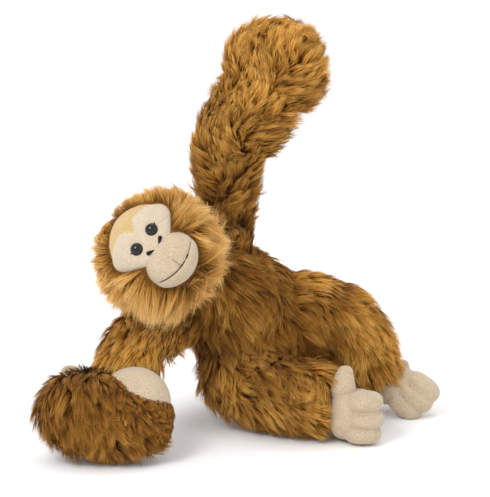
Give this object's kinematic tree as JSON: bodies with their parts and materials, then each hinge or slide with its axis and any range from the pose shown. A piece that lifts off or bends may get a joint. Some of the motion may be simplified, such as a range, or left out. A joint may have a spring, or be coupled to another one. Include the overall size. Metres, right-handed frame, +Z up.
{
  "type": "plush orangutan",
  "caption": "Reclining long-haired plush orangutan with a beige face, palms and feet, propped on an arm with the other raised, on a poseable plastic skeleton.",
  "frame": {"origin": "the middle of the toy's box on the floor it sits on", "axes": "+Z up, the face looks towards -Y, +X to the toy's left foot"},
  "size_m": [0.3946, 0.3004, 0.4118],
  "materials": {
    "fur": "matte",
    "head_fur": "matte",
    "beige_plush": "matte",
    "cream_plush": "matte",
    "tan_plush": "matte",
    "stuffing": "matte",
    "canvas": "matte",
    "skeleton_plastic": "satin",
    "thread": "matte",
    "eye_plastic": "gloss",
    "washer_plastic": "satin"
  },
  "bodies": {
    "torso": {"torso_skin": "fur", "torso_stuffing": "stuffing", "pellet_bag": "canvas", "skeleton_torso": "skeleton_plastic"},
    "upper_arm_l": {"upper_arm_l_skin": "fur", "upper_arm_l_stuffing": "stuffing", "skeleton_upper_arm_l": "skeleton_plastic"},
    "forearm_l": {"forearm_l_skin": "fur", "forearm_l_stuffing": "stuffing", "skeleton_forearm_l": "skeleton_plastic", "hand_back_l": "fur", "hand_stuffing_l": "stuffing", "palm_l": "beige_plush", "thumb_l": "beige_plush"},
    "upper_arm_r": {"upper_arm_r_skin": "fur", "upper_arm_r_stuffing": "stuffing", "skeleton_upper_arm_r": "skeleton_plastic"},
    "forearm_r": {"forearm_r_skin": "fur", "forearm_r_stuffing": "stuffing", "skeleton_forearm_r": "skeleton_plastic", "hand_back_r": "fur", "hand_stuffing_r": "stuffing", "palm_r": "beige_plush", "thumb_r": "beige_plush"},
    "thigh_l": {"thigh_l_skin": "fur", "thigh_l_stuffing": "stuffing", "skeleton_thigh_l": "skeleton_plastic"},
    "shin_l": {"shin_l_skin": "fur", "shin_l_stuffing": "stuffing", "skeleton_shin_l": "skeleton_plastic", "foot_l": "beige_plush", "big_toe_l": "beige_plush"},
    "thigh_r": {"thigh_r_skin": "fur", "thigh_r_stuffing": "stuffing", "skeleton_thigh_r": "skeleton_plastic"},
    "shin_r": {"shin_r_skin": "fur", "shin_r_stuffing": "stuffing", "skeleton_shin_r": "skeleton_plastic", "foot_r": "beige_plush", "big_toe_r": "beige_plush"},
    "head": {"head_skin": "head_fur", "head_stuffing": "stuffing", "skeleton_head": "skeleton_plastic", "muzzle": "beige_plush", "eye_mask": "cream_plush", "forehead_patch": "tan_plush", "eye_l": "eye_plastic", "eye_washer_l": "washer_plastic", "eye_r": "eye_plastic", "eye_washer_r": "washer_plastic", "nostril_l": "thread", "nostril_r": "thread", "mouth_stitch": "thread"}
  },
  "joints": [
    {"name": "neck_turn", "type": "hinge", "parent": "torso", "child": "head", "pos_m": [-0.05629, 0.00379, 0.176], "axis": [-0.8022, 0.1178, 0.5853], "range_deg": [-9, 18]},
    {"name": "shoulder_l", "type": "hinge", "parent": "torso", "child": "upper_arm_l", "pos_m": [-0.0083, 0.03979, 0.203], "axis": [0.0006, 0.9999, -0.0122], "range_deg": [-10, 50]},
    {"name": "elbow_l", "type": "hinge", "parent": "upper_arm_l", "child": "forearm_l", "pos_m": [-0.0123, 0.04079, 0.285], "axis": [0.0002, 0.9999, -0.0122], "range_deg": [-25, 30]},
    {"name": "shoulder_r", "type": "hinge", "parent": "torso", "child": "upper_arm_r", "pos_m": [-0.0613, 0.02179, 0.115], "axis": [-0.7192, 0.4074, 0.5629], "range_deg": [0, 8]},
    {"name": "elbow_r", "type": "hinge", "parent": "upper_arm_r", "child": "forearm_r", "pos_m": [-0.10529, -0.04621, 0.108], "axis": [-0.8235, 0.548, -0.1472], "range_deg": [0, 30]},
    {"name": "hip_l", "type": "hinge", "parent": "torso", "child": "thigh_l", "pos_m": [0.0757, 0.06379, 0.087], "axis": [-0.1042, -0.9935, -0.0456], "range_deg": [0, 20]},
    {"name": "knee_l", "type": "hinge", "parent": "thigh_l", "child": "shin_l", "pos_m": [0.1077, 0.05979, 0.101], "axis": [-0.0582, -0.9871, -0.1491], "range_deg": [0, 40]},
    {"name": "hip_r", "type": "hinge", "parent": "torso", "child": "thigh_r", "pos_m": [0.00571, 0.03279, 0.048], "axis": [-0.7726, -0.6349, 0.0009], "range_deg": [0, 8]},
    {"name": "knee_r", "type": "hinge", "parent": "thigh_r", "child": "shin_r", "pos_m": [0.02871, 0.00479, 0.042], "axis": [-0.0574, 0.0243, -0.9981], "range_deg": [-8, 35]}
  ]
}
